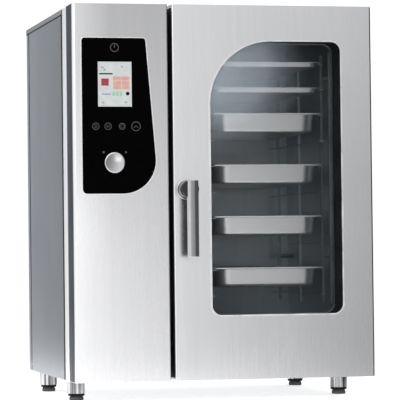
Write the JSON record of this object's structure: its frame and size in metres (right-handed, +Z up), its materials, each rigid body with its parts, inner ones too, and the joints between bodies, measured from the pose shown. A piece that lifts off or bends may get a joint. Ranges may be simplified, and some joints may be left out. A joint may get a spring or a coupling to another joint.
{
  "type": "combi steamer oven",
  "caption": "Free-standing stainless combi steamer oven with a narrow control column, a windowed right-hinged door, a lever latch, racks with pans and trays, and adjustable feet.",
  "frame": {"origin": "centre of the outer box at floor level, under the four feet", "axes": "+X to the right and +Y to the rear as the user faces the door, +Z up"},
  "size_m": [0.85, 0.924, 1.137],
  "materials": {
    "outer_steel": "brushed satin stainless sheet",
    "frame_steel": "bright rounded stainless edge",
    "cavity_steel": "rolled stainless, heat toned, seen through dark glass",
    "pan_steel": "drawn stainless, light satin",
    "tray_aluminium": "satin sheet with light scratches",
    "rack_steel": "satin stainless bar",
    "chrome_bright": "polished, with faint smudges",
    "trim_steel": "bright bevelled edge",
    "panel_glass": "black gloss panel glass",
    "mark_grey": "printed light grey mark",
    "display": null,
    "knob_aluminium": "turned face with bright rim",
    "window_glass": "dark tinted, coated",
    "inner_window_glass": "clear coated",
    "glazing_black": "black enamel",
    "seal_black": "black silicone",
    "foot_rubber": "grey-black moulded pad",
    "foot_steel": "bright turned sleeve",
    "mineral_wool": "mineral wool blanket",
    "inner_steel": "galvanised inner sheet",
    "fan_steel": "pressed wheel, heat toned",
    "heater_steel": "heat-darkened tube",
    "motor_paint": "ribbed grey enamel",
    "shaft_steel": "ground steel",
    "brass_fitting": "turned brass",
    "board_green": "circuit board",
    "black_plastic": "moulded black plastic",
    "grey_plastic": "moulded grey plastic"
  },
  "bodies": {
    "cabinet": {"front_frame": "frame_steel", "body_seal": "seal_black", "side_panel_left": "outer_steel", "side_panel_right": "outer_steel", "roof_panel": "outer_steel", "rear_panel": "inner_steel", "base_pan": "inner_steel", "cavity_liner": "cavity_steel", "insulation": "mineral_wool", "door_gasket": "seal_black", "rack_left": "rack_steel", "rack_right": "rack_steel", "fan_baffle": "cavity_steel", "fan_motor": "motor_paint", "heating_coil": "heater_steel", "steam_generator": "inner_steel", "steam_pipe": "inner_steel", "drain_grate": "rack_steel", "drain_pipe": "inner_steel", "fascia": "outer_steel", "control_bezel": "trim_steel", "control_glass": "panel_glass", "touch_display": "display", "panel_marks": "mark_grey", "control_board": "board_green", "encoder_housing": "black_plastic", "contactor_tray": "grey_plastic", "water_inlets": "brass_fitting", "cable_gland": "black_plastic", "roof_vents": "inner_steel", "foot_sleeves": "foot_steel", "hinge_lugs": "shaft_steel", "hinge_pins": "shaft_steel", "latch_keeper": "shaft_steel"},
    "door": {"door_skin": "outer_steel", "door_inner_panel": "cavity_steel", "window_trim": "trim_steel", "outer_glass": "window_glass", "glazing_frame": "glazing_black", "inner_glass": "inner_window_glass", "drip_tray": "rack_steel", "handle_rosette": "chrome_bright", "hinge_bushes": "brass_fitting"},
    "handle": {"handle_lever": "chrome_bright", "handle_spindle": "shaft_steel"},
    "fan": {"fan_wheel": "fan_steel", "fan_shaft": "shaft_steel"},
    "knob_push": {"encoder_plunger": "grey_plastic"},
    "knob": {"control_knob": "knob_aluminium", "knob_stem": "shaft_steel"},
    "foot_front_left": {"foot_pad_front_left": "foot_rubber"},
    "foot_front_right": {"foot_pad_front_right": "foot_rubber"},
    "foot_rear_left": {"foot_pad_rear_left": "foot_rubber"},
    "foot_rear_right": {"foot_pad_rear_right": "foot_rubber"},
    "pan_1": {"pan_1": "pan_steel"},
    "pan_2": {"pan_2": "pan_steel"},
    "pan_3": {"pan_3": "pan_steel"},
    "pan_4": {"pan_4": "pan_steel"},
    "tray_1": {"tray_1": "tray_aluminium"},
    "tray_2": {"tray_2": "tray_aluminium"}
  },
  "joints": [
    {"name": "door_hinge", "type": "hinge", "parent": "cabinet", "child": "door", "pos_m": [0.4085, -0.321, 0.6175], "axis": [0, 0, 1], "range_deg": [0, 110]},
    {"name": "handle_turn", "type": "hinge", "parent": "door", "child": "handle", "pos_m": [-0.109, -0.43, 0.586], "axis": [0, -1, 0], "range_deg": [0, 90]},
    {"name": "fan_spin", "type": "hinge", "parent": "cabinet", "child": "fan", "pos_m": [-0.09, 0.0085, 0.6175], "axis": [1, 0, 0], "continuous": true},
    {"name": "knob_press", "type": "slide", "parent": "cabinet", "child": "knob_push", "axis": [0, 1, 0], "range_m": [0, 0.0015], "stiffness_N_per_m": 1200, "springref_m": -0.0012},
    {"name": "knob_turn", "type": "hinge", "parent": "knob_push", "child": "knob", "pos_m": [-0.3125, -0.41, 0.66], "axis": [0, -1, 0], "continuous": true},
    {"name": "foot_front_left_height", "type": "slide", "parent": "cabinet", "child": "foot_front_left", "axis": [0, 0, -1], "range_m": [0, 0.02]},
    {"name": "foot_front_right_height", "type": "slide", "parent": "cabinet", "child": "foot_front_right", "axis": [0, 0, -1], "range_m": [0, 0.02]},
    {"name": "foot_rear_left_height", "type": "slide", "parent": "cabinet", "child": "foot_rear_left", "axis": [0, 0, -1], "range_m": [0, 0.02]},
    {"name": "foot_rear_right_height", "type": "slide", "parent": "cabinet", "child": "foot_rear_right", "axis": [0, 0, -1], "range_m": [0, 0.02]},
    {"name": "pan_1_slide", "type": "slide", "parent": "cabinet", "child": "pan_1", "axis": [0, -1, 0], "range_m": [0, 0.02]},
    {"name": "pan_2_slide", "type": "slide", "parent": "cabinet", "child": "pan_2", "axis": [0, -1, 0], "range_m": [0, 0.02]},
    {"name": "pan_3_slide", "type": "slide", "parent": "cabinet", "child": "pan_3", "axis": [0, -1, 0], "range_m": [0, 0.02]},
    {"name": "pan_4_slide", "type": "slide", "parent": "cabinet", "child": "pan_4", "axis": [0, -1, 0], "range_m": [0, 0.02]},
    {"name": "tray_1_slide", "type": "slide", "parent": "cabinet", "child": "tray_1", "axis": [0, -1, 0], "range_m": [0, 0.02]},
    {"name": "tray_2_slide", "type": "slide", "parent": "cabinet", "child": "tray_2", "axis": [0, -1, 0], "range_m": [0, 0.02]}
  ]
}
